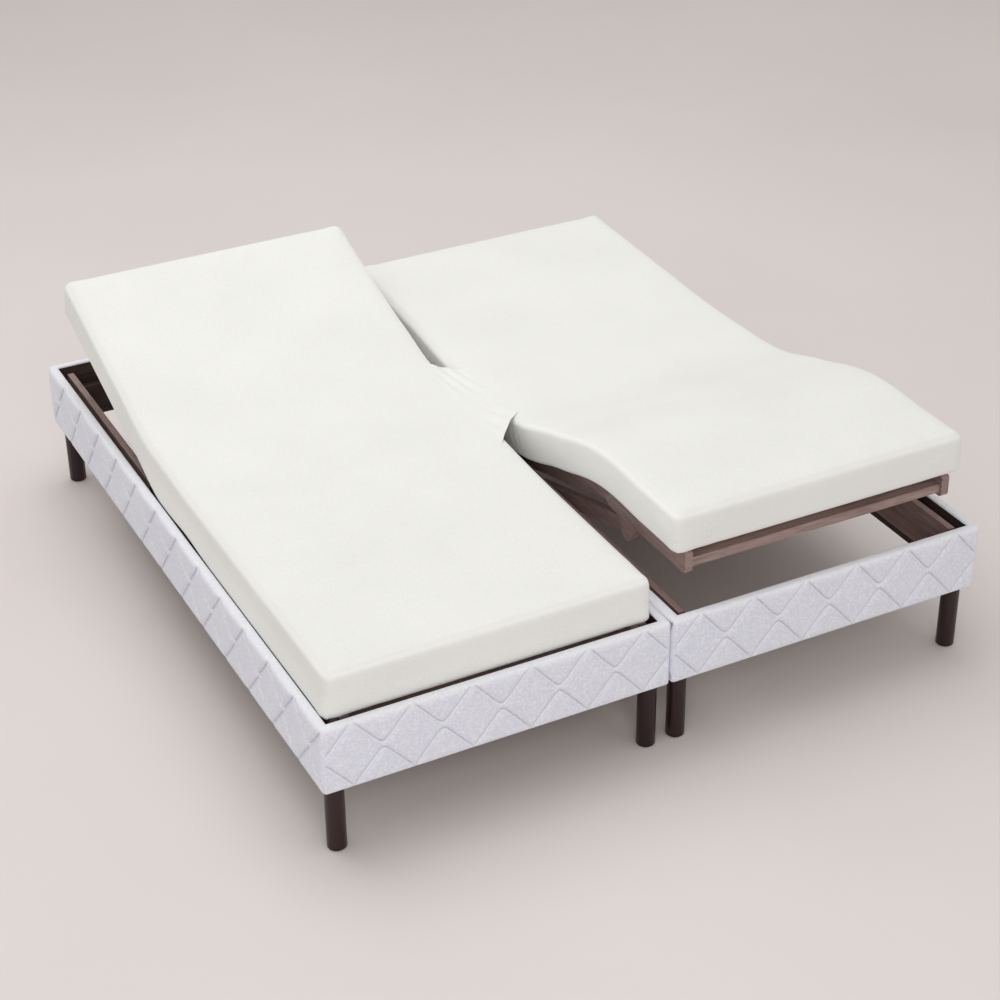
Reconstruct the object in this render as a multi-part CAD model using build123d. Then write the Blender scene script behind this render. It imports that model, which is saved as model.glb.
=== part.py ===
from build123d import *
import math
import os

# Twin adjustable bed: two upholstered box bases side by side, each with its own lifting slat frame.
# Frame: origin on the floor under the middle of the pair, +X to the right when looking at the head
# from the foot, +Y towards the head, +Z up. Millimetres and degrees.

# Box bases
base_width = 915.0
base_length = 2000.0
base_gap = 5.0
box_height = 180.0
cover_thickness = 5.0
cover_fold = 3.0
cover_corner_radius = 14.0
cover_rim_radius = 4.0
board_thickness = 18.0
corner_block_size = 70.0
corner_block_height = 45.0

# Legs
leg_diameter = 48.0
leg_length = 186.0
leg_inset = 40.0
glide_diameter = 40.0
glide_thickness = 4.0
stud_diameter = 8.0
stud_in_leg = 30.0
stud_in_block = 40.0
stud_clearance = 0.1

# Straps that hold the two bases together
strap_width = 60.0
strap_reach = 22.0
strap_thickness = 3.0
strap_from_end = 300.0

# Mattresses
mattress_side_gap = 4.5
mattress_foot_gap = 12.0
mattress_head_gap = 42.0
mattress_thickness = 120.0
mattress_crown = 6.0
mattress_draw_in = 4.0
mattress_top_radius = 27.0
mattress_bottom_radius = 18.0
mattress_corner_radius = 38.0
bridge_thickness = 3.0
bridge_length = 260.0
soft_clearance = 0.3
knee_slit = 0.2

# Hinge lines of the slat frame, as distances along the bed
foot_to_thigh_hinge = 897.0
seat_length = 300.0
thigh_length = 520.0

# Motion of the sections
back_travel_angle = 65.0
thigh_travel_angle = 30.0
bend_margin_angle = 0.5
left_back_angle = 18.5
left_thigh_angle = 0.0
right_back_angle = 2.0
right_thigh_angle = 15.5

# Slat frame
rail_thickness = 22.0
rail_height = 60.0
rail_tip_radius = 9.0
rail_lap_gap = 2.0
back_rail_to_wall = 42.5
leg_rail_end_gap = 22.0
back_rail_end_gap = 57.0
slat_width = 60.0
slat_thickness = 10.0
slat_tenon = 8.0
slat_hinge_gap = 50.0
slat_end_gap = 60.0
back_slat_count = 7
thigh_slat_count = 5
leg_slat_count = 4
end_bar_depth = 42.0
end_bar_height = 25.0
end_bar_drop = 24.0
end_bar_from_tip = 8.0
knee_pin_diameter = 12.0
pin_clearance = 0.05

# Fixed frame inside the box
fixed_rail_thickness = 18.0
fixed_rail_height = 110.0
fixed_rail_gap = 4.0
cross_board_thickness = 25.0
cross_board_height = 60.0
cross_board_below_rail = 5.0
seat_slat_thickness = 15.0
seat_slat_width = 55.0
seat_slat_hinge_gap = 37.5
seat_slat_count = 3

# Parallel struts that keep the leg section level
strut_setback = 80.0
strut_drop = 60.0
strut_height = 40.0
strut_pin_diameter = 12.0
ear_half_width = 80.0
ear_radius = 24.0

# Torsion tubes and their bushes
tube_diameter = 30.0
tube_wall = 3.0
bush_wall = 3.0
bush_flange = 1.7
bush_flange_rim = 4.0
tube_clearance = 0.05
tube_stand_out = 4.0

# Drive unit
lever_radius = 90.0
lever_thickness = 12.0
lever_root_radius = 22.0
lever_web_half_width = 8.0
lever_nose_radius = 10.0
lever_offset = 28.0
cheek_thickness = 6.0
drive_half_width = 62.0
drive_floor_drop = 35.0
drive_floor_thickness = 4.0
cheek_height = 90.0
cheek_ear_radius = 24.0
cheek_hole_clearance = 0.3
tray_foot_reach = 45.0
tray_head_reach = 70.0
motor_foot_gap = 60.0
motor_head_gap = 100.0
motor_height = 80.0
push_tube_diameter = 22.0
push_tube_clearance = 0.05
push_tube_engagement = 33.0
pad_thickness = 8.0
pad_width = 36.0
pad_below_tube = 20.0
pad_above_nose = 2.0
pad_clearance = 0.6
inlet_diameter = 12.0
inlet_depth = 10.0

# Heights
leg_top = glide_thickness + leg_length
rim_z = leg_top + box_height
slat_top = rim_z - soft_clearance
hinge_z = slat_top - rail_height / 2
fixed_rail_top = slat_top - seat_slat_thickness
fixed_rail_bottom = fixed_rail_top - fixed_rail_height
mattress_bottom = rim_z

# Widths, measured from the middle of one base
half_width = base_width / 2
half_length = base_length / 2
board_half_width = half_width - cover_thickness
board_half_length = half_length - cover_thickness
wall_half_width = board_half_width - board_thickness
wall_half_length = board_half_length - board_thickness
back_rail_out = wall_half_width - back_rail_to_wall
back_rail_in = back_rail_out - rail_thickness
thigh_rail_out = back_rail_in - rail_lap_gap
thigh_rail_in = thigh_rail_out - rail_thickness
fixed_rail_in = back_rail_out + fixed_rail_gap
fixed_rail_out = fixed_rail_in + fixed_rail_thickness
base_centre = base_gap / 2 + half_width

# Stations along the bed
foot_wall = -wall_half_length
thigh_hinge_y = foot_wall + foot_to_thigh_hinge
back_hinge_y = thigh_hinge_y + seat_length
knee_y = thigh_hinge_y - thigh_length
leg_rail_end = foot_wall + leg_rail_end_gap
back_rail_end = wall_half_length - back_rail_end_gap
fixed_rail_end = wall_half_length - cross_board_thickness
mattress_foot = foot_wall + mattress_foot_gap
mattress_head = wall_half_length - mattress_head_gap
mattress_length = mattress_head - mattress_foot
mattress_width = 2 * (wall_half_width - mattress_side_gap)
seat_middle = (thigh_hinge_y + back_hinge_y) / 2
strut_y = thigh_hinge_y - strut_setback
strut_z = hinge_z - strut_drop
strut_end_y = knee_y - strut_setback

# Each moving section turns about one of these lines
back_axis = (back_hinge_y, hinge_z)
thigh_axis = (thigh_hinge_y, hinge_z)
strut_axis = (strut_y, strut_z)

sides = (-1, 1)


def block(x0, x1, y0, y1, z0, z1):
    centre = Pos((x0 + x1) / 2, (y0 + y1) / 2, (z0 + z1) / 2)
    return centre * Box(abs(x1 - x0), abs(y1 - y0), abs(z1 - z0))


def rod(x0, x1, y, z, radius):
    return Pos((x0 + x1) / 2, y, z) * Rot(0, 90, 0) * Cylinder(radius, abs(x1 - x0))


def rod_along(y0, y1, x, z, radius):
    return Pos(x, (y0 + y1) / 2, z) * Rot(90, 0, 0) * Cylinder(radius, abs(y1 - y0))


def post(x, y, z0, z1, radius):
    return Pos(x, y, (z0 + z1) / 2) * Cylinder(radius, z1 - z0)


def plate(points, x0, x1):
    outline = Plane.YZ.offset(min(x0, x1)) * Polygon(*points, align=None)
    return extrude(outline, amount=abs(x1 - x0), dir=(1, 0, 0))


def turned(shape, axis, angle):
    y, z = axis
    return Pos(0, y, z) * Rot(angle, 0, 0) * Pos(0, -y, -z) * shape


def round_bar(x0, x1, y0, y1, z, height):
    radius = height / 2
    bar = block(x0, x1, y0 + radius, y1 - radius, z - radius, z + radius)
    return bar + rod(x0, x1, y0 + radius, z, radius) + rod(x0, x1, y1 - radius, z, radius)


def tipped_bar(x0, x1, tip_y, round_y, z, height):
    radius = height / 2
    corner = rail_tip_radius
    bar = block(x0, x1, tip_y + corner, round_y - radius, z - radius, z + radius)
    bar += block(x0, x1, tip_y, tip_y + corner, z - radius + corner, z + radius - corner)
    bar += rod(x0, x1, tip_y + corner, z - radius + corner, corner)
    bar += rod(x0, x1, tip_y + corner, z + radius - corner, corner)
    return bar + rod(x0, x1, round_y - radius, z, radius)


def spread(first, last, count):
    step = (last - first) / (count - 1)
    return [first + step * index for index in range(count)]


# Box base

def side_boards():
    return [block(s * wall_half_width, s * board_half_width, -board_half_length, board_half_length,
                  leg_top, rim_z - cover_fold) for s in sides]


def end_boards():
    return [block(-wall_half_width, wall_half_width, s * wall_half_length, s * board_half_length,
                  leg_top, rim_z - cover_fold) for s in sides]


def box_cover():
    shell = block(-half_width, half_width, -half_length, half_length, leg_top, rim_z)
    shell = fillet(shell.edges().filter_by(Axis.Z), cover_corner_radius)
    shell = fillet(shell.faces().sort_by(Axis.Z)[-1].edges(), cover_rim_radius)
    boards = block(-board_half_width, board_half_width, -board_half_length, board_half_length,
                   leg_top, rim_z - cover_fold)
    inside = block(-wall_half_width, wall_half_width, -wall_half_length, wall_half_length,
                   leg_top, rim_z)
    return [shell - boards - inside]


def leg_places():
    return [(sx * (half_width - leg_inset), sy * (half_length - leg_inset)) for sx in sides for sy in sides]


def legs():
    socket = stud_diameter / 2 + stud_clearance
    return [post(x, y, glide_thickness, leg_top, leg_diameter / 2)
            - post(x, y, leg_top - stud_in_leg, leg_top, socket) for x, y in leg_places()]


def leg_glides():
    return [post(x, y, 0, glide_thickness, glide_diameter / 2) for x, y in leg_places()]


def leg_studs():
    return [post(x, y, leg_top - stud_in_leg, leg_top + stud_in_block, stud_diameter / 2)
            for x, y in leg_places()]


def corner_blocks():
    socket = stud_diameter / 2 + stud_clearance
    blocks = []
    for x, y in leg_places():
        sx = math.copysign(1, x)
        sy = math.copysign(1, y)
        wood = block(sx * (wall_half_width - corner_block_size), sx * wall_half_width,
                     sy * (wall_half_length - corner_block_size), sy * wall_half_length,
                     leg_top, leg_top + corner_block_height)
        blocks.append(wood - post(x, y, leg_top, leg_top + stud_in_block, socket))
    return blocks


def link_straps():
    reach = base_gap / 2 + strap_reach
    return [block(-reach, reach, s * (half_length - strap_from_end) - strap_width / 2,
                  s * (half_length - strap_from_end) + strap_width / 2,
                  leg_top - strap_thickness, leg_top) for s in sides]


# Fixed frame inside the box

def fixed_rails():
    rails = []
    for s in sides:
        rail = block(s * fixed_rail_in, s * fixed_rail_out, -fixed_rail_end, fixed_rail_end,
                     fixed_rail_bottom, fixed_rail_top)
        for y in (back_hinge_y, thigh_hinge_y):
            rail -= rod(s * fixed_rail_in, s * fixed_rail_out, y, hinge_z, tube_diameter / 2 + bush_wall)
        rail -= rod(s * fixed_rail_in, s * fixed_rail_out, strut_y, strut_z, strut_pin_diameter / 2)
        rails.append(rail)
    return rails


def cross_boards():
    bottom = fixed_rail_bottom - cross_board_below_rail
    return [block(-wall_half_width, wall_half_width, s * fixed_rail_end, s * wall_half_length,
                  bottom, bottom + cross_board_height) for s in sides]


def seat_slats():
    inset = seat_slat_hinge_gap + seat_slat_width / 2
    stations = spread(thigh_hinge_y + inset, back_hinge_y - inset, seat_slat_count)
    return [block(-fixed_rail_out, fixed_rail_out, y - seat_slat_width / 2, y + seat_slat_width / 2,
                  fixed_rail_top, slat_top) for y in stations]


def pivot_bushes():
    outer = tube_diameter / 2 + bush_wall
    bore = tube_diameter / 2 + tube_clearance
    bushes = []
    for s in sides:
        for y in (back_hinge_y, thigh_hinge_y):
            bush = rod(s * fixed_rail_in, s * fixed_rail_out, y, hinge_z, outer)
            bush += rod(s * (fixed_rail_in - bush_flange), s * fixed_rail_in, y, hinge_z,
                        outer + bush_flange_rim)
            bush -= rod(s * (fixed_rail_in - bush_flange), s * fixed_rail_out, y, hinge_z, bore)
            bushes.append(bush)
    return bushes


def strut_pins():
    return [rod(s * thigh_rail_in, s * fixed_rail_out, strut_y, strut_z, strut_pin_diameter / 2)
            for s in sides]


# Lifting sections, drawn lying flat

def slat_row(stations, half_span):
    return [block(-half_span - slat_tenon, half_span + slat_tenon, y - slat_width / 2, y + slat_width / 2,
                  slat_top - slat_thickness, slat_top) for y in stations]


def cut_all(shapes, tools):
    result = []
    for shape in shapes:
        for tool in tools:
            shape = shape - tool
        result.append(shape)
    return result


def end_bar(y, toward, half_span):
    top = slat_top - end_bar_drop
    return block(-half_span, half_span, y, y + toward * end_bar_depth, top - end_bar_height, top)


back_stations = spread(back_hinge_y + slat_hinge_gap + slat_width / 2,
                       back_rail_end - slat_end_gap - slat_width / 2, back_slat_count)
thigh_stations = spread(thigh_hinge_y - slat_hinge_gap - slat_width / 2,
                        knee_y + slat_hinge_gap + slat_width / 2, thigh_slat_count)
leg_stations = spread(knee_y - slat_hinge_gap - slat_width / 2,
                      leg_rail_end + slat_end_gap + slat_width / 2, leg_slat_count)


def back_slats():
    return slat_row(back_stations, back_rail_in)


def thigh_slats():
    return slat_row(thigh_stations, thigh_rail_in)


def leg_slats():
    return slat_row(leg_stations, back_rail_in)


def back_rails():
    rails = [round_bar(s * back_rail_in, s * back_rail_out, back_hinge_y - rail_height / 2, back_rail_end,
                       hinge_z, rail_height)
             - rod(s * back_rail_in, s * back_rail_out, back_hinge_y, hinge_z, tube_diameter / 2)
             for s in sides]
    return cut_all(rails, back_slats())


def thigh_rails():
    rails = [round_bar(s * thigh_rail_in, s * thigh_rail_out, knee_y - rail_height / 2,
                       thigh_hinge_y + rail_height / 2, hinge_z, rail_height)
             - rod(s * thigh_rail_in, s * thigh_rail_out, thigh_hinge_y, hinge_z, tube_diameter / 2)
             - rod(s * thigh_rail_in, s * thigh_rail_out, knee_y, hinge_z, knee_pin_diameter / 2)
             for s in sides]
    return cut_all(rails, thigh_slats())


def leg_rails():
    rails = []
    for s in sides:
        near = s * back_rail_in
        far = s * back_rail_out
        rail = tipped_bar(near, far, leg_rail_end, knee_y + rail_height / 2, hinge_z, rail_height)
        ear = plate([(strut_end_y - ear_half_width, hinge_z), (strut_end_y - ear_radius, strut_z),
                     (strut_end_y + ear_radius, strut_z), (strut_end_y + ear_half_width, hinge_z)],
                    near, far)
        rail = rail + ear + rod(near, far, strut_end_y, strut_z, ear_radius)
        rail -= rod(near, far, knee_y, hinge_z, knee_pin_diameter / 2 + pin_clearance)
        rail -= rod(near, far, strut_end_y, strut_z, strut_pin_diameter / 2 + pin_clearance)
        rails.append(rail)
    return cut_all(rails, leg_slats())


def knee_pins():
    return [rod(s * thigh_rail_in, s * back_rail_out, knee_y, hinge_z, knee_pin_diameter / 2) for s in sides]


def back_head_bar():
    return [end_bar(back_rail_end - end_bar_from_tip, -1, back_rail_in)]


def leg_end_bar():
    return [end_bar(leg_rail_end + end_bar_from_tip, 1, back_rail_in)]


def struts():
    bars = []
    for s in sides:
        bar = round_bar(s * thigh_rail_in, s * thigh_rail_out, strut_end_y - strut_height / 2,
                        strut_y + strut_height / 2, strut_z, strut_height)
        bar -= rod(s * thigh_rail_in, s * thigh_rail_out, strut_y, strut_z,
                   strut_pin_diameter / 2 + pin_clearance)
        bars.append(bar + rod(s * thigh_rail_out, s * back_rail_out, strut_end_y, strut_z,
                              strut_pin_diameter / 2))
    return bars


# Torsion tubes with their levers. A lever hangs straight down at half of its section's travel.

def lever(axis, x):
    y, z = axis
    tip = z - lever_radius
    near = x - lever_thickness / 2
    far = x + lever_thickness / 2
    web = block(near, far, y - lever_web_half_width, y + lever_web_half_width, tip, z)
    root = rod(near, far, y, z, lever_root_radius)
    nose = rod(near, far, y, tip, lever_nose_radius)
    return web + root + nose


def torsion_tube(axis, x, lever_angle):
    y, z = axis
    end = fixed_rail_out + tube_stand_out
    tube = rod(-end, end, y, z, tube_diameter / 2)
    tube += turned(lever(axis, x), axis, lever_angle)
    return [tube - rod(-end, end, y, z, tube_diameter / 2 - tube_wall)]


def back_tube():
    return torsion_tube(back_axis, lever_offset, -back_travel_angle / 2)


def thigh_tube():
    return torsion_tube(thigh_axis, -lever_offset, thigh_travel_angle / 2)


# Drive unit: a tray that hangs on both tubes, a motor block, and two push tubes that press on the levers

drive_floor = fixed_rail_bottom - drive_floor_drop
push_z = hinge_z - lever_radius
motor_foot = thigh_hinge_y + motor_foot_gap
motor_head = back_hinge_y - motor_head_gap


def stroke(travel):
    return 2 * lever_radius * math.sin(math.radians(travel / 2))


def lever_lag(travel):
    half = math.radians(travel / 2)
    ratio = math.sin(half) / half
    turn = math.acos(ratio)
    return lever_radius * (math.sin(turn) - ratio * turn)


def drive_tray():
    foot = thigh_hinge_y - tray_foot_reach
    head = back_hinge_y + tray_head_reach
    solid = block(-drive_half_width, drive_half_width, foot, head, drive_floor,
                  drive_floor + drive_floor_thickness)
    for s in sides:
        inner = s * (drive_half_width - cheek_thickness)
        outer = s * drive_half_width
        solid += block(inner, outer, foot, head, drive_floor, drive_floor + cheek_height)
        for y in (back_hinge_y, thigh_hinge_y):
            solid += block(inner, outer, y - cheek_ear_radius, y + cheek_ear_radius, drive_floor, hinge_z)
            solid += rod(inner, outer, y, hinge_z, cheek_ear_radius)
    for y in (back_hinge_y, thigh_hinge_y):
        solid -= rod(-drive_half_width, drive_half_width, y, hinge_z,
                     tube_diameter / 2 + cheek_hole_clearance)
    return [solid]


def drive_motor():
    half = drive_half_width - cheek_thickness
    floor = drive_floor + drive_floor_thickness
    body = block(-half, half, motor_foot, motor_head, floor, floor + motor_height)
    body = fillet(body.faces().sort_by(Axis.Z)[-1].edges(), inlet_diameter / 2)
    bore = push_tube_diameter / 2 + push_tube_clearance
    for x in (lever_offset, -lever_offset):
        body -= rod_along(motor_foot, motor_head, x, push_z, bore)
    body -= post(0, (motor_foot + motor_head) / 2, floor + motor_height - inlet_depth, floor + motor_height,
                 inlet_diameter / 2)
    return [body]


def push_tube(x, face, toward, travel, motor_face):
    back_face = face - toward * pad_thickness
    tail = motor_face - toward * (push_tube_engagement + stroke(travel))
    nose_rise = lever_radius * (1 - math.cos(math.radians(travel / 2)))
    pad = block(x - pad_width / 2, x + pad_width / 2, back_face, face, push_z - pad_below_tube,
                push_z + nose_rise + pad_above_nose)
    return [pad + rod_along(back_face, tail, x, push_z, push_tube_diameter / 2)]


def pad_face(axis_y, toward, travel, lifted):
    start = axis_y - toward * stroke(travel) / 2
    press = start + toward * stroke(travel) * lifted / travel
    return press - toward * (lever_nose_radius + lever_lag(travel) + pad_clearance)


def back_push_tube(lifted):
    flat = pad_face(back_hinge_y, 1, back_travel_angle, 0)
    now = pad_face(back_hinge_y, 1, back_travel_angle, lifted)
    return [Pos(0, now - flat, 0) * piece
            for piece in push_tube(lever_offset, flat, 1, back_travel_angle, motor_head)]


def leg_push_tube(lifted):
    flat = pad_face(thigh_hinge_y, -1, thigh_travel_angle, 0)
    now = pad_face(thigh_hinge_y, -1, thigh_travel_angle, lifted)
    return [Pos(0, now - flat, 0) * piece
            for piece in push_tube(-lever_offset, flat, -1, thigh_travel_angle, motor_foot)]


# Mattress: one crowned form with drawn-in sides, cut into the parts that ride on each section

def quarter(centre, radius, start):
    return CenterArc(centre, radius, start, 90)


def mattress_form():
    hw = mattress_width / 2
    low = mattress_bottom
    edge = low + mattress_thickness - mattress_crown
    top = low + mattress_thickness
    rb = mattress_bottom_radius
    rt = mattress_top_radius
    middle = (low + rb + edge - rt) / 2
    with BuildSketch(Plane.XZ) as section:
        with BuildLine():
            Line((-hw + rb, low), (hw - rb, low))
            quarter((hw - rb, low + rb), rb, 270)
            ThreePointArc((hw, low + rb), (hw - mattress_draw_in, middle), (hw, edge - rt))
            quarter((hw - rt, edge - rt), rt, 0)
            ThreePointArc((hw - rt, edge), (0, top), (-hw + rt, edge))
            quarter((-hw + rt, edge - rt), rt, 90)
            ThreePointArc((-hw, edge - rt), (-hw + mattress_draw_in, middle), (-hw, low + rb))
            quarter((-hw + rb, low + rb), rb, 180)
        make_face()
    long_form = extrude(section.sketch, amount=base_length, both=True)
    middle_y = (mattress_foot + mattress_head) / 2
    profile = Plane.YZ * Pos(middle_y, low + mattress_thickness / 2)
    profile = profile * RectangleRounded(mattress_length, mattress_thickness, mattress_top_radius)
    side_form = extrude(profile, amount=base_width, both=True)
    plan = Pos(0, middle_y, low) * RectangleRounded(mattress_width, mattress_length, mattress_corner_radius)
    plan_form = extrude(plan, amount=mattress_thickness)
    return long_form & side_form & plan_form


def mattress_part(form, foot_y, foot_lean, head_y, head_lean):
    rise = 1.5 * mattress_thickness
    points = [(foot_y, hinge_z), (foot_y + rise * math.tan(math.radians(foot_lean)), hinge_z + rise),
              (head_y + rise * math.tan(math.radians(head_lean)), hinge_z + rise)]
    if head_y != foot_y:
        points.append((head_y, hinge_z))
    return form & plate(points, -base_width, base_width)


back_lean_angle = back_travel_angle / 2 + bend_margin_angle
thigh_lean_angle = thigh_travel_angle / 2 + bend_margin_angle


def mattress_back(form):
    return mattress_part(form, back_hinge_y, back_lean_angle, half_length, 0)


def mattress_seat(form):
    return mattress_part(form, thigh_hinge_y, thigh_lean_angle, back_hinge_y, -back_lean_angle)


def mattress_thigh(form):
    return mattress_part(form, knee_y + knee_slit / 2, 0, thigh_hinge_y, -thigh_lean_angle)


def mattress_leg(form):
    return mattress_part(form, -half_length, 0, knee_y - knee_slit / 2, 0)


def hip_bend(form, lifted):
    seat_half = mattress_part(form, back_hinge_y, -back_lean_angle, back_hinge_y, -lifted / 2)
    back_half = mattress_part(form, back_hinge_y, lifted / 2, back_hinge_y, back_lean_angle)
    if lifted == 0:
        return mattress_part(form, back_hinge_y, -back_lean_angle, back_hinge_y, back_lean_angle)
    return seat_half + turned(back_half, back_axis, lifted)


def groin_bend(form, lifted):
    seat_half = mattress_part(form, thigh_hinge_y, lifted / 2, thigh_hinge_y, thigh_lean_angle)
    thigh_half = mattress_part(form, thigh_hinge_y, -thigh_lean_angle, thigh_hinge_y, -lifted / 2)
    if lifted == 0:
        return mattress_part(form, thigh_hinge_y, -thigh_lean_angle, thigh_hinge_y, thigh_lean_angle)
    return seat_half + turned(thigh_half, thigh_axis, -lifted)


def knee_bend(form, lifted):
    thigh_half = mattress_part(form, knee_y, -lifted / 2, knee_y, 0)
    leg_half = mattress_part(form, knee_y, 0, knee_y, lifted / 2)
    raised = turned(thigh_half, thigh_axis, -lifted)
    return raised + knee_shift(lifted) * leg_half


def knee_shift(lifted):
    turn = math.radians(lifted)
    return Pos(0, thigh_length * (1 - math.cos(turn)), thigh_length * math.sin(turn))


def sheet_bridge():
    half_gap = base_centre - mattress_width / 2 - soft_clearance
    level = mattress_bottom + mattress_thickness - mattress_crown - mattress_top_radius
    lean = math.tan(math.radians(thigh_lean_angle)) - math.tan(math.radians(back_lean_angle))
    middle = seat_middle + (level - hinge_z) * lean / 2
    return [block(-half_gap, half_gap, middle - bridge_length / 2, middle + bridge_length / 2,
                  level - bridge_thickness / 2, level + bridge_thickness / 2)]


# One bed: which pieces lie where when the sections stand at their rest angles

def lifting_nodes(back_rest, thigh_rest):
    form = mattress_form()
    level = knee_shift(thigh_rest)

    def on_back(pieces):
        return [turned(piece, back_axis, back_rest) for piece in pieces]

    def on_thigh(pieces):
        return [turned(piece, thigh_axis, -thigh_rest) for piece in pieces]

    def on_leg(pieces):
        return [level * piece for piece in pieces]

    bends = [hip_bend(form, back_rest), groin_bend(form, thigh_rest)]
    if thigh_rest > 0:
        bends.append(knee_bend(form, thigh_rest))
    return {
        "back_rails": on_back(back_rails()),
        "back_slats": on_back(back_slats()),
        "back_head_bar": on_back(back_head_bar()),
        "back_tube": on_back(back_tube()),
        "mattress_back": on_back([mattress_back(form)]),
        "back_push_tube": back_push_tube(back_rest),
        "thigh_rails": on_thigh(thigh_rails()),
        "thigh_slats": on_thigh(thigh_slats()),
        "thigh_tube": on_thigh(thigh_tube()),
        "knee_pins": on_thigh(knee_pins()),
        "mattress_thigh": on_thigh([mattress_thigh(form)]),
        "leg_push_tube": leg_push_tube(thigh_rest),
        "leg_rails": on_leg(leg_rails()),
        "leg_slats": on_leg(leg_slats()),
        "leg_end_bar": on_leg(leg_end_bar()),
        "mattress_leg": on_leg([mattress_leg(form)]),
        "struts": [turned(piece, strut_axis, -thigh_rest) for piece in struts()],
        "mattress_seat": [mattress_seat(form)],
        "mattress_bends": bends,
    }


def box_nodes():
    return {
        "side_boards": side_boards(),
        "end_boards": end_boards(),
        "box_cover": box_cover(),
        "legs": legs(),
        "fixed_rails": fixed_rails(),
    }


def shared_nodes():
    return {
        "leg_glides": leg_glides(),
        "leg_studs": leg_studs(),
        "corner_blocks": corner_blocks(),
        "cross_boards": cross_boards(),
        "seat_slats": seat_slats(),
        "pivot_bushes": pivot_bushes(),
        "strut_pins": strut_pins(),
        "drive_trays": drive_tray(),
        "drive_motors": drive_motor(),
    }


def placed(pieces, x):
    return [Pos(x, 0, 0) * piece for piece in pieces]


def all_nodes():
    nodes = {}
    beds = (("left", -base_centre, left_back_angle, left_thigh_angle),
            ("right", base_centre, right_back_angle, right_thigh_angle))
    for name, x, back_rest, thigh_rest in beds:
        own = box_nodes()
        own.update(lifting_nodes(back_rest, thigh_rest))
        for part_name, pieces in own.items():
            nodes[name + "_" + part_name] = placed(pieces, x)
    for part_name, pieces in shared_nodes().items():
        nodes[part_name] = placed(pieces, -base_centre) + placed(pieces, base_centre)
    nodes["link_straps"] = link_straps()
    nodes["sheet_bridge"] = sheet_bridge()
    return nodes


def write_parts():
    os.makedirs("parts", exist_ok=True)
    for name, pieces in all_nodes().items():
        solids = [solid for piece in pieces for solid in piece.solids()]
        shape = solids[0] if len(solids) == 1 else Compound(children=solids)
        export_step(shape, "parts/" + name + ".step")


write_parts()
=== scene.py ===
import math

import bmesh
import bpy
import numpy as np
from mathutils import Matrix, Vector, noise
from mathutils.bvhtree import BVHTree


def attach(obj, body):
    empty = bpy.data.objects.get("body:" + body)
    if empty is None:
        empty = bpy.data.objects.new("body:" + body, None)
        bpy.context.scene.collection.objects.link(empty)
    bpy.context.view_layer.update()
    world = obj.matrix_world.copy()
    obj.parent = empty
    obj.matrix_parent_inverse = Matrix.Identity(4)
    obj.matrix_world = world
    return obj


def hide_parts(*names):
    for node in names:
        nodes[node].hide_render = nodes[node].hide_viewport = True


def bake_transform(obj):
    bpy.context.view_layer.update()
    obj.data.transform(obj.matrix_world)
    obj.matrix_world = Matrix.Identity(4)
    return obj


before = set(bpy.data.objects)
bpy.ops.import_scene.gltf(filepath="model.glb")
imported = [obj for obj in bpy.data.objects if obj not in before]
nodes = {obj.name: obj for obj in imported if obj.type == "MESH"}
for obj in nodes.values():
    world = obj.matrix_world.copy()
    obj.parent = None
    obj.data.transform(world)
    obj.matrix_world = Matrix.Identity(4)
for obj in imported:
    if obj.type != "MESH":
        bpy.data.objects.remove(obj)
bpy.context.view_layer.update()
scene = bpy.context.scene
scene.view_settings.view_transform = "Standard"
bedCentres = dict(left=-0.460, right=0.460)
restAngles = dict(left=(18.5, 0.0), right=(2.0, 15.5))   # back and thigh of each bed, degrees
print("frame loaded:", len(nodes), "nodes")


# camera, floor and light

view = dict(place=(-2.332, -4.637, 3.308), azimuth=-27.21, elevation=31.07, roll=-0.57, lens=78.35)
cameraData = bpy.data.cameras.new("photoCamera")
cameraData.lens = view["lens"]
cameraData.sensor_width = 36
camera = bpy.data.objects.new("photoCamera", cameraData)
camera.matrix_world = (Matrix.Translation(view["place"])
                       @ Matrix.Rotation(math.radians(view["azimuth"]), 4, "Z")
                       @ Matrix.Rotation(math.radians(90 - view["elevation"]), 4, "X")
                       @ Matrix.Rotation(math.radians(view["roll"]), 4, "Z"))
scene.collection.objects.link(camera)
scene.camera = camera


def tint(red, green, blue):
    # screen colour, 0 to 255, to the shader's linear colour
    def linear(level):
        level /= 255
        return level / 12.92 if level <= 0.04045 else ((level + 0.055) / 1.055) ** 2.4
    return (linear(red), linear(green), linear(blue), 1.0)


class Wire:
    # a socket that takes part in plain arithmetic
    def __init__(self, finish, socket):
        self.finish = finish
        self.socket = socket

    def calc(self, operation, *values):
        return self.finish.add("ShaderNodeMath", {"operation": operation}, dict(enumerate(values)))

    def __add__(self, other):
        return self.calc("ADD", self, other)

    def __radd__(self, other):
        return self.calc("ADD", other, self)

    def __sub__(self, other):
        return self.calc("SUBTRACT", self, other)

    def __rsub__(self, other):
        return self.calc("SUBTRACT", other, self)

    def __mul__(self, other):
        return self.calc("MULTIPLY", self, other)

    def __rmul__(self, other):
        return self.calc("MULTIPLY", other, self)


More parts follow.
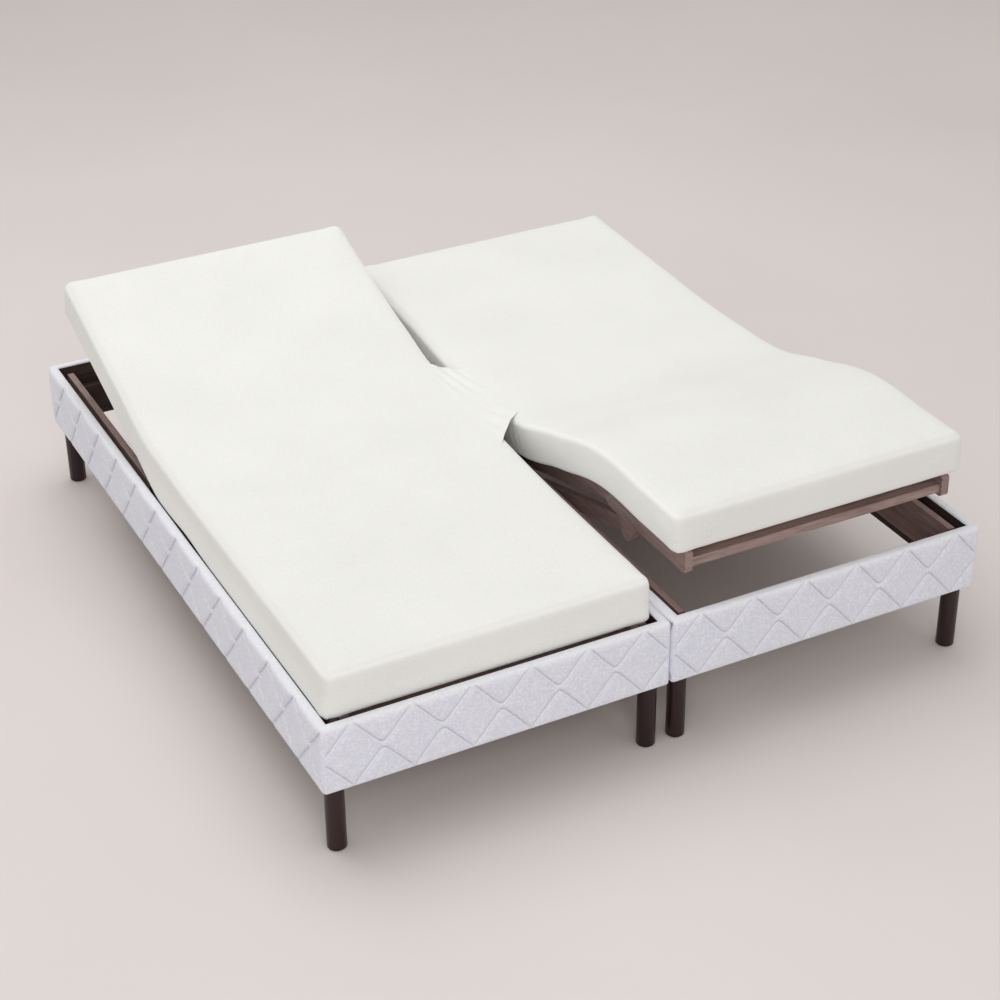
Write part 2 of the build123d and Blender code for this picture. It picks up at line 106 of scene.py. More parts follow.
class Finish:
    def __init__(self, name, constants):
        self.material = bpy.data.materials.new(name)
        self.material.use_nodes = True
        self.tree = self.material.node_tree
        self.shader = self.tree.nodes["Principled BSDF"]
        for socket, value in constants.items():
            self.shader.inputs[socket].default_value = value
        self.place = self.add("ShaderNodeTexCoord", {}, {}, "Object")

    def add(self, kind, settings, sockets, output=0):
        node = self.tree.nodes.new(kind)
        for key, value in settings.items():
            if key == "stops":
                ramp = node.color_ramp
                while len(ramp.elements) < len(value):
                    ramp.elements.new(1.0)
                for stop, (position, level) in zip(ramp.elements, value):
                    stop.position = position
                    stop.color = (level, level, level, 1.0)
            else:
                setattr(node, key, value)
        for key, value in sockets.items():
            if isinstance(value, Wire):
                self.tree.links.new(value.socket, node.inputs[key])
            else:
                node.inputs[key].default_value = value
        return Wire(self, node.outputs[output])

    def turned(self, scale, tilt=0.0):
        return self.add("ShaderNodeMapping", {}, {"Vector": self.place, "Scale": scale,
                                                  "Rotation": (math.radians(tilt), 0, 0)})

    def grains(self, scale, detail=3.0, roughness=0.55, vector=None, distortion=0.0):
        return self.add("ShaderNodeTexNoise", {}, {"Vector": vector or self.place, "Scale": scale,
                                                   "Detail": detail, "Roughness": roughness,
                                                   "Distortion": distortion})

    def ramp(self, value, *stops):
        return self.add("ShaderNodeValToRGB", {"stops": stops}, {"Fac": value})

    def blend(self, factor, first, second):
        return self.add("ShaderNodeMix", {"data_type": "RGBA"}, {0: factor, 6: first, 7: second}, 2)

    def attribute(self, name):
        return self.add("ShaderNodeAttribute", {"attribute_name": name}, {}, "Fac")

    def feed(self, **wires):
        for socket, wire in wires.items():
            self.tree.links.new(wire.socket, self.shader.inputs[socket.replace("_", " ")])

    def bump(self, height, strength, distance):
        self.feed(Normal=self.add("ShaderNodeBump", {}, {"Height": height, "Strength": strength,
                                                         "Distance": distance}))


floor = dict(size=24.0, pale=tint(231, 224, 221), dark=tint(222, 213, 210))
floorFinish = Finish("paleFloor", {"Roughness": 0.9, "Specular IOR Level": 0.1})
floorFinish.feed(Base_Color=floorFinish.blend(floorFinish.grains(0.7, 4.0), floor["pale"], floor["dark"]))
floorMesh = bmesh.new()
bmesh.ops.create_grid(floorMesh, x_segments=1, y_segments=1, size=floor["size"] / 2)
floorData = bpy.data.meshes.new("floor")
floorMesh.to_mesh(floorData)
floorMesh.free()
floorData.materials.append(floorFinish.material)
floorObject = bpy.data.objects.new("floor", floorData)
scene.collection.objects.link(floorObject)

light = dict(sky=0.62, skyColour=(1.0, 0.99, 0.985, 1.0),
             lamps=[("overhead", (-0.6, 1.2, 4.6), (0, 0, 0.3), 4.0, 84),
                    ("footSide", (-2.2, -5.0, 3.0), (0, -0.4, 0.3), 3.0, 62)])
world = bpy.data.worlds.new("studio")
world.use_nodes = True
world.node_tree.nodes["Background"].inputs["Color"].default_value = light["skyColour"]
world.node_tree.nodes["Background"].inputs["Strength"].default_value = light["sky"]
scene.world = world
for lampName, lampPlace, lampAim, lampSize, lampPower in light["lamps"]:
    lampData = bpy.data.lights.new(lampName, "AREA")
    lampData.size = lampSize
    lampData.energy = lampPower
    lamp = bpy.data.objects.new(lampName, lampData)
    lamp.location = lampPlace
    lamp.rotation_euler = (Vector(lampAim) - Vector(lampPlace)).to_track_quat("-Z", "Y").to_euler()
    scene.collection.objects.link(lamp)
print("camera, floor and light set")


# finishes of wood, metal and plastic for the CAD nodes

def shaded(colour, factor, lift=0.0):
    return tuple(factor * level + lift for level in colour[:3]) + (1.0,)


def woodFinish(name, pale, dark, grain, tilt=0.0, gloss=0.5, plies=False, **constants):
    finish = Finish(name, constants)
    scale = [1.0, 1.0, 1.0]
    scale[grain] = 0.045
    along = finish.turned(scale, tilt)
    streaks = finish.grains(42.0, 5.0, 0.62, along, 0.6)
    pores = finish.ramp(finish.grains(420.0, 2.0, 0.5, along), (0.36, 1.0), (0.5, 0.0))
    cloud = finish.grains(5.0, 2.0)
    shade = finish.ramp(streaks * 0.75 + cloud * 0.25, (0.34, 0.0), (0.66, 1.0))
    if plies:
        across = finish.add("ShaderNodeSeparateXYZ", {}, {0: finish.place}, "X") * 2900.0
        layers = finish.ramp(across.calc("SINE", across) * 0.5 + 0.5, (0.3, 0.0), (0.7, 1.0))
        shade = shade * 0.7 + layers * 0.3
    colour = finish.blend(shade, pale, dark)
    worn = finish.blend(pores * 0.5, colour, shaded(dark, 0.45))
    finish.feed(Base_Color=worn, Roughness=gloss + 0.16 * streaks + 0.12 * pores)
    finish.bump(streaks * 0.35 - pores, 0.35, 0.0005)
    return finish.material


def plasticFinish(name, colour, roughness, grainScale):
    finish = Finish(name, {"Specular IOR Level": 0.45})
    pits = finish.grains(grainScale, 2.0)
    dust = finish.grains(14.0, 3.0)
    finish.feed(Base_Color=finish.blend(dust * 0.5, colour, shaded(colour, 1.35, 0.006)),
                Roughness=roughness + 0.18 * pits)
    finish.bump(pits, 0.25, 0.0004)
    return finish.material


def steelFinish(name, colour, metallic, roughness, brush):
    finish = Finish(name, {"Metallic": metallic})
    lines = finish.grains(240.0, 3.0, 0.6, finish.turned(brush))
    stains = finish.grains(9.0, 4.0)
    finish.feed(Base_Color=finish.blend(stains * 0.6, colour, shaded(colour, 0.8)),
                Roughness=roughness + 0.2 * lines * stains)
    finish.bump(lines, 0.15, 0.0003)
    return finish.material


woods = dict(box=(tint(84, 64, 58), tint(50, 36, 34)), rail=(tint(172, 147, 140), tint(128, 103, 98)),
             slat=(tint(206, 178, 142), tint(170, 136, 98)), leg=(tint(52, 17, 20), tint(20, 6, 10)))
leftBackTurn, rightThighTurn = -restAngles["left"][0], restAngles["right"][1]   # grain along the rails
boxLong = woodFinish("boxWoodLong", *woods["box"], 1, gloss=0.55)
boxCross = woodFinish("boxWoodCross", *woods["box"], 0, gloss=0.55)
railLong = woodFinish("railWood", *woods["rail"], 1, plies=True, gloss=0.42)
railBack = woodFinish("railWoodBack", *woods["rail"], 1, leftBackTurn, plies=True, gloss=0.42)
railThigh = woodFinish("railWoodThigh", *woods["rail"], 1, rightThighTurn, plies=True, gloss=0.42)
railCross = woodFinish("barWood", *woods["rail"], 0, gloss=0.42)
slatCross = woodFinish("slatWood", *woods["slat"], 0, gloss=0.4)
legLacquer = woodFinish("legLacquer", *woods["leg"], 2, gloss=0.30,
                        **{"Coat Weight": 0.30, "Coat Roughness": 0.10, "Specular IOR Level": 0.3})
blackPlastic = plasticFinish("drivePlastic", tint(44, 45, 48), 0.42, 900.0)
bushPlastic = plasticFinish("bushPlastic", tint(62, 63, 66), 0.36, 700.0)
glidePlastic = plasticFinish("glidePlastic", tint(30, 29, 30), 0.45, 800.0)
paintedSteel = steelFinish("tubeSteel", tint(70, 71, 74), 0.15, 0.36, (1.0, 1.0, 1.0))
zincSteel = steelFinish("pushSteel", tint(186, 188, 190), 1.0, 0.28, (1.0, 0.04, 1.0))

dressing = {"side_boards": boxLong, "end_boards": boxCross, "corner_blocks": boxLong,
            "cross_boards": boxCross, "fixed_rails": railLong, "leg_rails": railLong,
            "struts": railLong, "leg_end_bar": railCross, "back_head_bar": railCross,
            "seat_slats": slatCross, "back_slats": slatCross,
            "thigh_slats": slatCross, "leg_slats": slatCross, "legs": legLacquer, "leg_glides": glidePlastic,
            "pivot_bushes": bushPlastic, "drive_motors": blackPlastic, "drive_trays": blackPlastic,
            "back_tube": paintedSteel, "thigh_tube": paintedSteel, "link_straps": zincSteel,
            "leg_studs": zincSteel, "strut_pins": zincSteel, "knee_pins": zincSteel,
            "back_push_tube": zincSteel, "leg_push_tube": zincSteel, "left_back_rails": railBack,
            "right_back_rails": railLong, "left_thigh_rails": railLong, "right_thigh_rails": railThigh}
for nodeName, node in nodes.items():
    plainName = nodeName.replace("left_", "").replace("right_", "")
    material = dressing.get(nodeName) or dressing.get(plainName)
    if material:
        for slot in node.material_slots:
            slot.material = material
print("CAD nodes dressed")


# fabrics

def jerseyFinish():
    finish = Finish("bedJersey", {"Roughness": 0.92, "Specular IOR Level": 0.12, "Sheen Weight": 0.25,
                                  "Sheen Roughness": 0.5})
    knit = finish.grains(760.0, 2.0, 0.6, finish.turned((1.0, 0.5, 1.0)))
    nap = finish.ramp(finish.grains(260.0, 3.0, 0.65), (0.34, 0.0), (0.66, 1.0))
    cloud = finish.ramp(finish.grains(3.2, 3.0), (0.35, 0.0), (0.7, 1.0))
    shade = cloud * 0.25 + knit * 0.35 + nap * 0.4
    cloth = finish.blend(shade, tint(245, 245, 241), tint(228, 228, 223))
    # painted highlight: the mattress's upper edges are painted lighter by this mask
    finish.feed(Base_Color=finish.blend(finish.attribute("crest") * 0.6, cloth, tint(252, 252, 249)))
    finish.bump(knit * 0.6 + nap * 0.5, 0.35, 0.0012)
    return finish.material


def quiltFinish():
    finish = Finish("quiltedCover", {"Roughness": 0.95, "Specular IOR Level": 0.1, "Sheen Weight": 0.4,
                                     "Sheen Roughness": 0.45})
    fuzz = finish.grains(420.0, 3.0, 0.65)
    tufts = finish.ramp(finish.grains(150.0, 4.0, 0.7, None, 0.5), (0.40, 0.0), (0.60, 1.0))
    cloud = finish.grains(6.0, 3.0)
    # the same zigzag as the relief, drawn fine: painted shade along the upper lip of each sunk line, and the
    # stitches of its thread with a painted highlight along the lower lip
    c = boxCover
    station = finish.attribute("station")
    height = finish.add("ShaderNodeSeparateXYZ", {}, {0: finish.place}, "Z")
    turned = station + 0.5
    swing = (turned - turned.calc("FLOOR", turned)) * 2.0 - 1.0
    bow = swing * swing + c["bend"]
    low, high = c["bend"] ** 0.5, (1 + c["bend"]) ** 0.5
    rise = (bow.calc("SQRT", bow) - low) * (c["rise"] / (high - low))
    above = height - (c["rim"] + c["bottom"]) / 2
    gap = (above.calc("ABSOLUTE", above) - c["tipGap"] / 2 - rise) * c["slope"]
    gap = gap * above.calc("SIGN", above)
    quilted = finish.attribute("quilted")

    def line(offset):
        spread = (gap - offset) * (gap - offset) * (-1 / c["seamWidth"] ** 2)
        return spread.calc("EXPONENT", spread) * quilted

    shadow, threadAndHighlight = line(c["seamWidth"]), line(-0.8 * c["seamWidth"])   # painted shade on the upper lip, painted highlight with the thread on the lower lip
    beat = station * c["stitches"]
    stitch = beat.calc("SINE", beat) * 0.5 + 0.5
    shade = fuzz * 0.3 + tufts * 0.45 + cloud * 0.25
    colour = finish.blend(shade, tint(250, 250, 254), tint(212, 215, 231))
    # painted highlight: the upper band of the cover and its rim are painted whiter
    rimHighlight = finish.ramp((height - c["rim"] + c["rimBand"]) * c["rimScale"], (0.25, 0.0), (0.95, 1.0))
    colour = finish.blend(rimHighlight * 0.5, colour, tint(250, 250, 252))
    # painted shade along the upper lip of each seam
    colour = finish.blend(shadow * 0.42, colour, tint(150, 153, 174))
    # the thread's own colour together with a painted highlight on the lower lip
    finish.feed(Base_Color=finish.blend(threadAndHighlight * (0.75 - 0.25 * stitch), colour, tint(250, 250, 254)))
    finish.bump(fuzz * 0.3 + tufts * 0.5 - shadow + threadAndHighlight * (0.4 + 0.3 * stitch), 0.5, 0.0025)
    return finish.material


bedJersey = jerseyFinish()


def newPiece(name, shape, material):
    data = bpy.data.meshes.new(name)
    shape.to_mesh(data)
    shape.free()
    data.materials.append(material)
    piece = bpy.data.objects.new(name, data)
    scene.collection.objects.link(piece)
    for face in data.polygons:
        face.use_smooth = True
    return piece


# quilted cover of each box: a strip that runs round the box, turned under below and over the rim above

boxCover = dict(halfWidth=0.4575, halfLength=1.0, corner=0.010, bottom=0.1892, rim=0.3705, bottomEdge=0.005,
                topEdge=0.009, innerEdge=0.004, hem=0.018, wall=0.0240, drop=0.005, cell=0.0038,
                zigzags=(6, 13), pitch=0.153, tipGap=0.018, bend=0.012, puff=0.0060, groove=0.0040,
                soft=0.0068, seamWidth=0.0022, stitches=150.0, fade=0.014, lastOuter=16,
                puckerPace=70.0, puckerHeight=0.0007, puckerSpan=0.02, wavePace=26.0, waveHeight=0.0006,
                rimBand=0.03, rimScale=33.0)
boxCover["rise"] = (boxCover["rim"] - boxCover["bottom"] - boxCover["tipGap"]) / 2
boxCover["slope"] = math.cos(math.atan(2 * boxCover["rise"] / boxCover["pitch"]))
quiltedCover = quiltFinish()


def coverProfile():
    # the strip's section: distance in from the outer face, height
    c = boxCover
    points = [(c["hem"], c["bottom"])]
    for step in range(7):
        turn = math.radians(15 * step)
        points.append((c["bottomEdge"] * (1 - math.sin(turn)),
                       c["bottom"] + c["bottomEdge"] * (1 - math.cos(turn))))
    for step in range(9):
        turn = math.radians(11.25 * step)
        points.append((c["topEdge"] * (1 - math.cos(turn)), c["rim"] - c["topEdge"] * (1 - math.sin(turn))))
    for step in range(7):
        turn = math.radians(15 * step)
        points.append((c["wall"] - c["innerEdge"] * (1 - math.sin(turn)),
                       c["rim"] - c["innerEdge"] * (1 - math.cos(turn))))
    points.append((c["wall"], c["rim"] - c["drop"]))
    return np.array(points)


def aroundBox(travel):
    # place, outward direction and pattern station for a distance round the rounded outline
    c = boxCover
    straight = (2 * (c["halfWidth"] - c["corner"]), 2 * (c["halfLength"] - c["corner"]))
    quarter = c["corner"] * math.pi / 2
    for side in range(4):
        length = straight[side % 2]
        reach = (c["halfLength"], c["halfWidth"])[side % 2]
        half = length / 2
        turn = Matrix.Rotation(side * math.pi / 2, 2)
        if travel <= length:
            at, out, station = Vector((travel - half, -reach)), Vector((0, -1)), travel - half
        elif travel <= length + quarter:
            angle = (travel - length) / c["corner"]
            out = Vector((math.sin(angle), -math.cos(angle)))
            at = Vector((half, -reach + c["corner"])) + out * c["corner"]
            station = half + angle * c["corner"] if angle <= math.pi / 4 else None
        else:
            travel -= length + quarter
            continue
        if station is None:
            length = straight[(side + 1) % 2]
            station = -length / 2 - (math.pi / 2 - angle) * c["corner"]
            side += 1
        span = 2 * (c["halfWidth"], c["halfLength"])[side % 2]
        return turn @ at, turn @ out, station / span * c["zigzags"][side % 2]
    return aroundBox(0.0)


def stitchDistance(station, height):
    # distance to the nearer of the two mirrored zigzag seams
    c = boxCover
    middle = (c["rim"] + c["bottom"]) / 2
    swing = 2 * ((station + 0.5) % 1.0) - 1
    low, high = math.sqrt(c["bend"]), math.sqrt(1 + c["bend"])
    rise = c["rise"] * (math.sqrt(swing * swing + c["bend"]) - low) / (high - low)
    return abs(abs(height - middle) - c["tipGap"] / 2 - rise) * c["slope"]


def makeCover(side, centre):
    c = boxCover
    profile = coverProfile()
    lengths = np.concatenate(([0], np.cumsum(np.hypot(*np.diff(profile, axis=0).T))))
    outline = 4 * (c["halfWidth"] + c["halfLength"] - 2 * c["corner"]) + 2 * math.pi * c["corner"]
    columns, rows = round(outline / c["cell"]), round(lengths[-1] / c["cell"])
    shape = bmesh.new()
    bmesh.ops.create_grid(shape, x_segments=columns, y_segments=rows, size=0.5)
    quilted = shape.verts.layers.float.new("quilted")
    along = shape.verts.layers.float.new("station")
    stations = {}
    for vert in shape.verts:
        column = round((vert.co.x + 0.5) * columns)
        if column not in stations:
            stations[column] = aroundBox((column % columns) * outline / columns)
        place, out, station = stations[column]
        travel = (vert.co.y + 0.5) * lengths[-1]
        inward = float(np.interp(travel, lengths, profile[:, 0]))
        height = float(np.interp(travel, lengths, profile[:, 1]))
        outer = travel < lengths[c["lastOuter"]]   # up to the crown of the rim
        fade = min(1.0, (height - c["bottom"]) / c["fade"], (c["rim"] - height) / c["fade"])
        fade = max(0.0, fade) if outer else 0.0
        fade *= abs(abs(out.x) - abs(out.y)) ** 4   # none at the corner edges
        gap = stitchDistance(station, height)
        swell = c["puff"] * (1 - math.exp(-(gap / c["soft"]) ** 2)) - c["groove"]
        spot = Vector((place.x, place.y, height))
        pucker = noise.noise(spot * c["puckerPace"]) * c["puckerHeight"]
        pucker *= math.exp(-(gap / c["puckerSpan"]) ** 2)
        wave = noise.noise(spot * c["wavePace"]) * c["waveHeight"]
        shift = (swell + pucker + wave) * fade
        vert[quilted] = fade
        vert[along] = station
        x, y = place + out * (shift - inward)
        if inward > c["corner"]:   # folded over the rim, the corners are mitred
            x = max(inward - c["halfWidth"], min(c["halfWidth"] - inward, x))
            y = max(inward - c["halfLength"], min(c["halfLength"] - inward, y))
        vert.co = Vector((centre + x, y, height))
    bmesh.ops.remove_doubles(shape, verts=shape.verts, dist=0.00005)
    bmesh.ops.recalc_face_normals(shape, faces=shape.faces)
    piece = newPiece(side + "QuiltedCover", shape, quiltedCover)
    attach(piece, "bases")
    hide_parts(side + "_box_cover")


for side, centre in bedCentres.items():
    makeCover(side, centre)
print("quilted covers made")


# mattresses: one flat form, swelled as cloth, bent to each bed's rest pose and cut where it stays straight

mattress = dict(halfWidth=0.4280, foot=-0.9665, head=0.9325, bottom=0.3715, top=0.485, corner=0.024,
                topEdge=0.020, bottomEdge=0.011, voxel=0.0095, pressure=3.0, frames=16, cap=0.005,
                crest=0.008, relief=0.010, reliefSpan=0.10, swell=0.014, swellSpan=0.17, swellAngle=18,
                levelFrom=(0.34, 0.10), droop=0.0165, droopFrom=(-0.404, -0.418), footDroop=0.011,
                footDroopFrom=(0.032, 0.014), inside=0.4325, spread=0.009, spreadFrom=(-0.402, -0.420),
                footSpread=0.004, footSpreadFrom=(0.026, 0.010), lowerPart=(0.45, 0.9), restBand=0.02,
                pull=0.026, pullWidth=0.07, pullAt=0.07, pullSpan=0.34, pullHold=0.85,
                gather=0.0022, gatherSpan=0.085, gatherShift=0.02, gatherAngle=20, gatherDepth=0.012,
                gatherWaves=(210, 1.6, 40), pucker=0.0005, puckerSpan=0.016, puckerStart=0.006,
                puckerWaves=(170, 2.2, 61, 60))
bends = dict(level=0.3397, hip=(0.220, 0.08, 0.46), thigh=(-0.080, 0.08, -0.38), knee=(-0.600, -0.40, -0.80),
             seatCut=0.08, thighCut=-0.39)


def flatMattress():
    m = mattress
    shape = bmesh.new()
    bmesh.ops.create_cube(shape, size=1.0)
    size = (2 * m["halfWidth"], m["head"] - m["foot"], m["top"] - m["bottom"])
    middle = (0, (m["head"] + m["foot"]) / 2, (m["top"] + m["bottom"]) / 2)
    bmesh.ops.scale(shape, verts=shape.verts, vec=size)
    bmesh.ops.translate(shape, verts=shape.verts, vec=middle)
    upright = [e for e in shape.edges if abs(e.verts[0].co.z - e.verts[1].co.z) > 0.01]
    bmesh.ops.bevel(shape, geom=upright, offset=m["corner"], segments=8, profile=0.5, affect="EDGES",
                    material=-1)
    for level, offset in ((m["top"], m["topEdge"]), (m["bottom"], m["bottomEdge"])):
        rim = [e for e in shape.edges if all(abs(v.co.z - level) < 1e-4 for v in e.verts)]
        bmesh.ops.bevel(shape, geom=rim, offset=offset, segments=6, profile=0.5, affect="EDGES", material=-1)
    return shape


def applied(piece):
    evaluated = piece.evaluated_get(bpy.context.evaluated_depsgraph_get())
    return bpy.data.meshes.new_from_object(evaluated)


def swelledMattress():
    m = mattress
    work = newPiece("mattressForm", flatMattress(), bedJersey)
    remesh = work.modifiers.new("even", "REMESH")
    remesh.mode = "VOXEL"
    remesh.voxel_size = m["voxel"]
    work.data = applied(work)
    work.modifiers.clear()
    before = np.zeros(3 * len(work.data.vertices))
    work.data.vertices.foreach_get("co", before)
    cloth = work.modifiers.new("swell", "CLOTH")
    cloth.settings.use_pressure = True
    cloth.settings.uniform_pressure_force = m["pressure"]
    cloth.settings.effector_weights.gravity = 0
    cloth.point_cache.frame_start = 1
    cloth.point_cache.frame_end = m["frames"]
    for frameNumber in range(1, m["frames"] + 1):
        scene.frame_set(frameNumber)
    swelled = applied(work)
    after = np.zeros_like(before)
    swelled.vertices.foreach_get("co", after)
    before, after = before.reshape(-1, 3), after.reshape(-1, 3)
    move = after - before
    far = np.linalg.norm(move, axis=1, keepdims=True)
    move *= m["cap"] * np.tanh(far / m["cap"]) / np.maximum(far, 1e-9)
    resting = before[:, 2] < m["bottom"] + m["restBand"]
    move[:, 2] = np.where(resting, np.maximum(move[:, 2], 0), move[:, 2])
    work.modifiers.clear()
    work.data.vertices.foreach_set("co", (before + move).ravel())
    scene.frame_set(1)
    finer = work.modifiers.new("finer", "SUBSURF")
    finer.levels = finer.render_levels = 1
    mesh = applied(work)
    bpy.data.objects.remove(work)
    crest = mesh.attributes.new("crest", "FLOAT", "POINT")   # painted highlight along the taut upper edges
    for vert in mesh.vertices:
        x, y, z = vert.co
        inside = min(m["halfWidth"] - abs(x), y - m["foot"], m["head"] - y)
        crest.data[vert.index].value = math.exp(-((inside - m["top"] + z) / m["crest"]) ** 2)
    return mesh


def ease(value, start, end):
    t = np.clip((value - start) / (end - start), 0, 1)
    return t * t * (3 - 2 * t)


def spun(points, station, angle):
    # turn about the cross axis through a hinge, by an angle of its own for each point
    y, z = points[:, 1] - station, points[:, 2] - bends["level"]
    points[:, 1] = station + y * np.cos(angle) - z * np.sin(angle)
    points[:, 2] = bends["level"] + y * np.sin(angle) + z * np.cos(angle)


def bent(flat, side):
    back, thigh = (math.radians(a) for a in restAngles[side])
    points = flat.copy()
    along = flat[:, 1]
    station, start, end = bends["knee"]
    spun(points, station, thigh * ease(along, start, end))
    station, start, end = bends["thigh"]
    spun(points, station, -thigh * ease(along, start, end))
    station, start, end = bends["hip"]
    spun(points, station, back * ease(along, start, end))
    return points


def hump(value, middle, span):
    return np.exp(-((value - middle) / span) ** 2)


def gathered(flat, side):
    # lifts the underside over the hinges, swells and puckers the inside of a bend, lets the edges hang
    m = mattress
    back, thigh = restAngles[side]
    points = flat.copy()
    across, along = flat[:, 0], flat[:, 1]
    low = np.clip((m["top"] - flat[:, 2]) / (m["top"] - m["bottom"]), 0, 1)

    def nearFoot(span):
        return ease(along, *(m["foot"] + step for step in span))

    for station, angle in ((bends["hip"][0], back), (bends["thigh"][0], thigh)):
        points[:, 2] += m["relief"] * low ** 2 * hump(along, station, m["reliefSpan"])
        swell = m["swell"] * angle / m["swellAngle"] * (1 - low)
        points[:, 2] += swell * hump(along, station, m["swellSpan"])
    inward = 1 if side == "left" else -1
    if side == "left":   # lies level from hip to foot, so its edge settles into the box
        level = ease(along, *m["levelFrom"])
        hang = ease(across, *m["droopFrom"]) * level * m["droop"]
        hang = np.maximum(hang, nearFoot(m["footDroopFrom"]) * m["footDroop"])
        points[:, 2] -= hang * low ** 2
        lower = ease(low, *m["lowerPart"])
        wider = np.minimum(points[:, 0], np.maximum(points[:, 0] - m["spread"], -m["inside"]))
        points[:, 0] += (wider - points[:, 0]) * lower * ease(across, *m["spreadFrom"]) * level
        points[:, 1] -= m["footSpread"] * lower * nearFoot(m["footSpreadFrom"])
        held = np.maximum(points[:, 0], -m["inside"])
        points[:, 0] = np.where(points[:, 2] < m["bottom"], held, points[:, 0])
    # the shared sheet draws the two inner edges together at the seat
    inner = np.clip((inward * across - m["halfWidth"] + m["pullWidth"]) / m["pullWidth"], 0, 1) ** 2
    drawn = inward * m["pull"] * inner * hump(along, m["pullAt"], m["pullSpan"])
    points[:, 0] += drawn * (1 - m["pullHold"] * low ** 2)
    sideFace = np.clip((np.abs(across) - m["halfWidth"] + m["gatherDepth"]) / m["gatherDepth"], 0, 1)
    hip, groin = bends["hip"][0] + m["gatherShift"], bends["thigh"][0] - m["gatherShift"]
    pace, sway, stray = m["gatherWaves"]
    for station, angle in ((hip, back), (groin, thigh)):
        window = hump(along, station, m["gatherSpan"]) * angle / m["gatherAngle"]
        fold = np.sin(along * pace + sway * np.sin(flat[:, 2] * stray) + np.sign(across))
        points[:, 0] += np.sign(across) * sideFace * window * m["gather"] * fold * (1 - low ** 3)
    # small pulls of the sheet at the four corners
    aside = np.abs(across) - m["halfWidth"] + m["corner"]
    beyond = np.maximum(along - m["head"], m["foot"] - along) + m["corner"]
    near = np.clip(np.minimum(aside, beyond) / m["puckerStart"], 0, 1)
    near = hump(aside, beyond, m["puckerSpan"]) * near
    pace, sway, stray, lean = m["puckerWaves"]
    phase = flat[:, 2] * pace + sway * np.sin(flat[:, 2] * stray + across) + lean * aside
    pull = near * m["pucker"] * np.sin(phase)
    points[:, 0] += np.sign(across) * pull
    points[:, 1] += np.sign(along) * pull
    return points


def cutPiece(form, name, low, high):
    shape = bmesh.new()
    shape.from_mesh(form)
    for station, upward in ((low, -1), (high, 1)):
        if station is None:
            continue
        bmesh.ops.bisect_plane(shape, geom=shape.verts[:] + shape.edges[:] + shape.faces[:], dist=1e-6,
                               plane_co=(0, station, 0), plane_no=(0, upward, 0), clear_outer=True)
        rim = [e for e in shape.edges if e.is_boundary]
        bmesh.ops.holes_fill(shape, edges=rim, sides=0)
        for edge in rim:
            edge.smooth = False
    bmesh.ops.recalc_face_normals(shape, faces=shape.faces)
    return newPiece(name, shape, bedJersey)


def makeMattress(side, centre, form):
    level = (mattress["bottom"] + mattress["top"]) / 2
    parts = [("Back", bends["seatCut"], None, "bases", side + "_back", "hip", ("mattress_back",)),
             ("Seat", bends["thighCut"], bends["seatCut"], "bases", side + "_thigh", "thigh",
              ("mattress_seat", "mattress_bends")),
             ("Leg", None, bends["thighCut"], side + "_thigh", side + "_leg", "knee",
              ("mattress_thigh", "mattress_leg"))]
    made = []
    for title, low, high, first, second, joint, stoodFor in parts:
        piece = cutPiece(form, side + "Mattress" + title, low, high)
        points = np.zeros(3 * len(piece.data.vertices))
        piece.data.vertices.foreach_get("co", points)
        points = bent(gathered(points.reshape(-1, 3), side), side)
        points[:, 0] += centre
        piece.data.vertices.foreach_set("co", points.ravel())
        piece.data.update()
        start, end = bends[joint][1:]
        ends = bent(np.array([(centre, start, level), (centre, end, level)]), side)
        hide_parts(*(side + "_" + node for node in stoodFor))
        tuple(ends[0])
        tuple(ends[1])
        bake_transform(piece)
        made.append(piece)
    return made


mattressForm = swelledMattress()
bedPieces = {side: makeMattress(side, centre, mattressForm) for side, centre in bedCentres.items()}
print("mattresses made")


# the web of sheet that joins the mattresses at the seat, in two lengths that each follow one raised section

sheetWeb = dict(reach=0.092, lip=0.060, head=(0.235, -0.070, 0.015), foot=(-0.165, 0.065, -0.030),
                ceiling=0.4905, lift=0.0007, dive=0.0050, diveSpan=0.03, sag=0.0030, fold=0.0036, folds=5.5,
                drift=2.2, foldEnd=1.15, thick=0.0009, sharp=0.8, across=52, along=60)
formTree = BVHTree.FromPolygons([v.co for v in mattressForm.vertices],
                                [p.vertices for p in mattressForm.polygons])


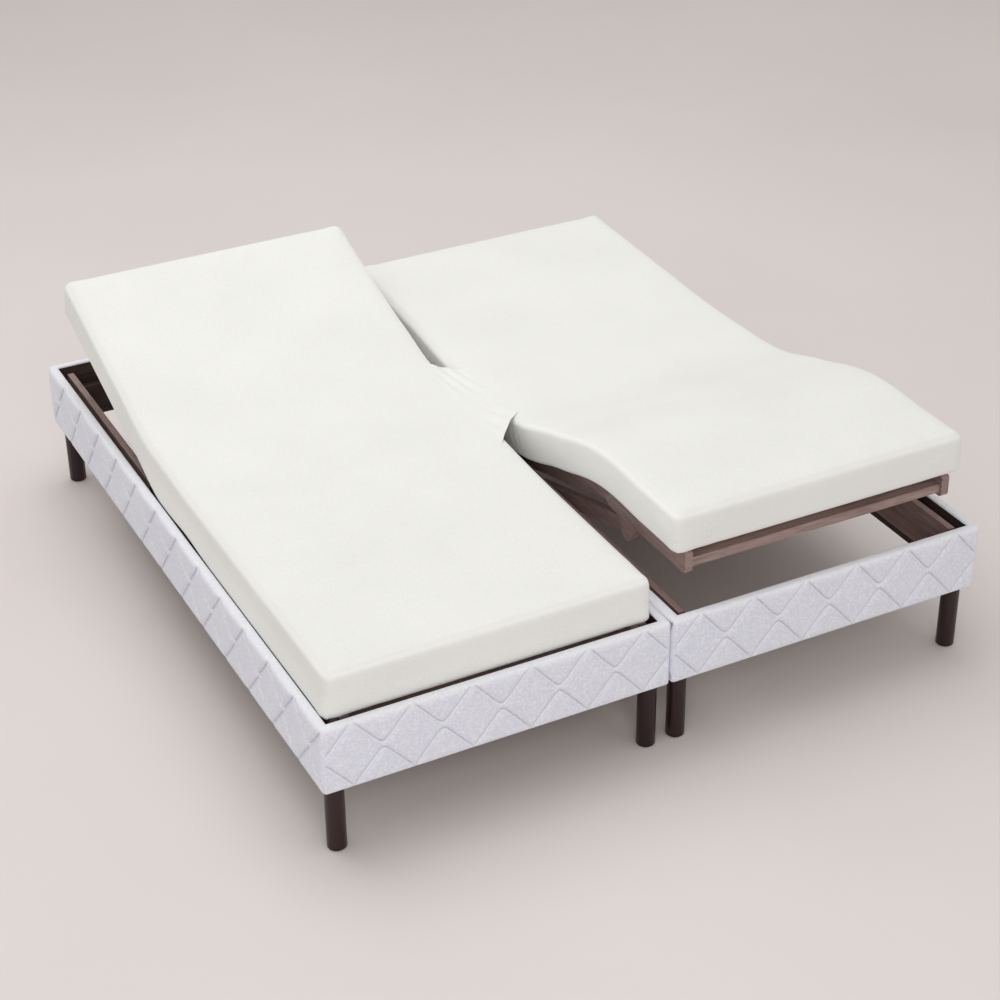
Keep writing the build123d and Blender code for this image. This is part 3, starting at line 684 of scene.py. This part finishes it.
def onMattress(x, y, side):
    # a point of the rest surface above a place on the flat mattress
    w = sheetWeb
    centre = bedCentres[side]
    hit = formTree.ray_cast(Vector((x - centre, y, 1.0)), Vector((0, 0, -1)))[0]
    height = min(hit.z, w["ceiling"]) + w["lift"] - w["dive"] * max(0.0, (abs(x) - w["lip"]) / w["diveSpan"])
    point = bent(gathered(np.array([(x - centre, y, height)]), side), side)[0]
    return Vector(point) + Vector((centre, 0, 0))


def makeWeb(name, low, high):
    w = sheetWeb
    shape = bmesh.new()
    bmesh.ops.create_grid(shape, x_segments=w["across"], y_segments=w["along"], size=0.5)
    for vert in shape.verts:
        s = 2 * vert.co.x
        t = low + (high - low) * (vert.co.y + 0.5)   # -1 at the foot end, 1 at the head end
        ending = w["head"] if t > 0 else w["foot"]
        x, y = s * w["reach"], abs(t) * (ending[0] + ending[1] * s + ending[2] * s * s)
        if abs(x) >= w["lip"]:
            vert.co = onMattress(x, y, "left" if x < 0 else "right")
            continue
        share = x / w["lip"] / 2 + 0.5
        free = 1 - (x / w["lip"]) ** 2
        leftLip, rightLip = onMattress(-w["lip"], y, "left"), onMattress(w["lip"], y, "right")
        place = leftLip.lerp(rightLip, share * share * (3 - 2 * share))
        crease = math.sin(math.pi * (w["folds"] * x / w["lip"] / 2 + w["drift"] * t))
        crease *= math.sin(math.pi * min(1.0, w["foldEnd"] - abs(t)))
        vert.co = Vector((leftLip.lerp(rightLip, share).x, place.y,
                          place.z - w["sag"] * free ** 2 + w["fold"] * free * crease))
    bmesh.ops.recalc_face_normals(shape, faces=shape.faces)
    if sum(face.normal.z for face in shape.faces) < 0:
        bmesh.ops.reverse_faces(shape, faces=shape.faces)
    bmesh.ops.solidify(shape, geom=shape.faces[:], thickness=w["thick"])
    for edge in shape.edges:
        edge.smooth = not edge.is_manifold or edge.calc_face_angle() < w["sharp"]
    piece = newPiece(name, shape, bedJersey)
    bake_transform(piece)
    return piece


# each length turns with the raised mattress along one lip and stays level along the other
headWeb = makeWeb("sheetWebHead", 0.0, 1.0)
footWeb = makeWeb("sheetWebFoot", -1.0, 0.0)
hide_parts("sheet_bridge")
print("sheet web made")
